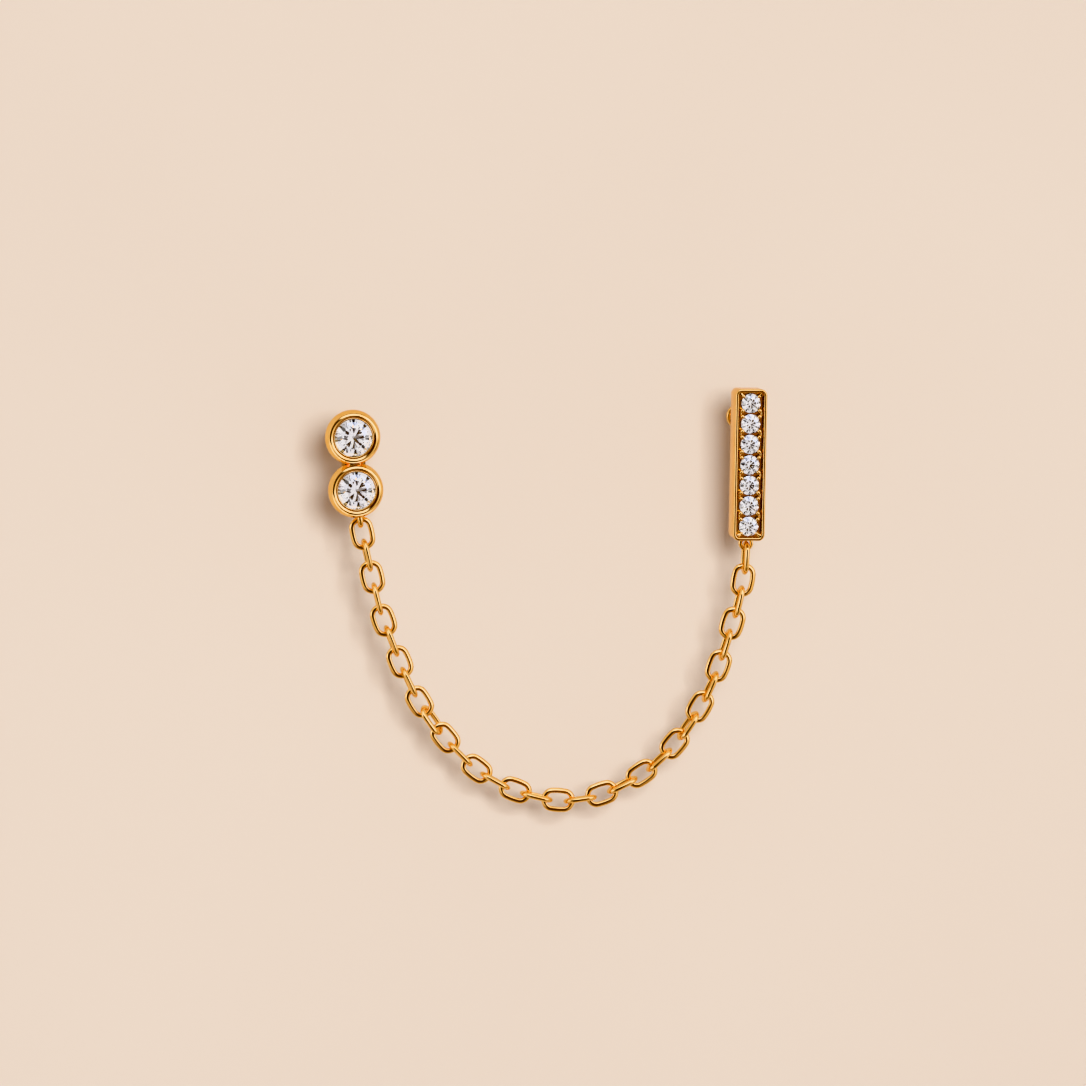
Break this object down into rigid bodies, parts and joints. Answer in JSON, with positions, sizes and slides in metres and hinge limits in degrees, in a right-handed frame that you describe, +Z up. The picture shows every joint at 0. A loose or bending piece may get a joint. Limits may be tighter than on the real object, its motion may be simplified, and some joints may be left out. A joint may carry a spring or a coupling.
{
  "type": "ear chain earring",
  "caption": "Double bezel stud and pave bar stud joined by a hanging cable chain, with posts and round backs",
  "frame": {"origin": "where the lobe post leaves the back of the double bezel setting, on the post's axis", "axes": "+X across the ear from the double bezel stud to the bar stud, +Z up, fronts face -Y, both posts run along +Y into the ear"},
  "size_m": [0.0317, 0.0086, 0.0301],
  "materials": {
    "polished_gold": "polished gold plate",
    "clear_stone": "clear colourless cut stone, polished"
  },
  "bodies": {
    "root": {"double_bezel_setting": "polished_gold", "upper_bezel_stone": "clear_stone", "lower_bezel_stone": "clear_stone", "bar_setting": "polished_gold", "bar_stone_1": "clear_stone", "bar_stone_2": "clear_stone", "bar_stone_3": "clear_stone", "bar_stone_4": "clear_stone", "bar_stone_5": "clear_stone", "bar_stone_6": "clear_stone", "bar_stone_7": "clear_stone", "chain_link_01": "polished_gold", "chain_link_02": "polished_gold", "chain_link_03": "polished_gold", "chain_link_04": "polished_gold", "chain_link_05": "polished_gold", "chain_link_06": "polished_gold", "chain_link_07": "polished_gold", "chain_link_08": "polished_gold", "chain_link_09": "polished_gold", "chain_link_10": "polished_gold", "chain_link_11": "polished_gold", "chain_link_12": "polished_gold", "chain_link_13": "polished_gold", "chain_link_14": "polished_gold", "chain_link_15": "polished_gold", "chain_link_16": "polished_gold", "chain_link_17": "polished_gold", "chain_link_18": "polished_gold", "chain_link_19": "polished_gold", "chain_link_20": "polished_gold", "chain_link_21": "polished_gold", "chain_link_22": "polished_gold", "chain_link_23": "polished_gold", "chain_link_24": "polished_gold", "chain_link_25": "polished_gold", "chain_link_26": "polished_gold", "chain_link_27": "polished_gold", "chain_link_28": "polished_gold", "chain_link_29": "polished_gold", "chain_link_30": "polished_gold", "chain_link_31": "polished_gold", "chain_link_32": "polished_gold", "lobe_back": "polished_gold", "bar_back": "polished_gold"}
  },
  "joints": []
}
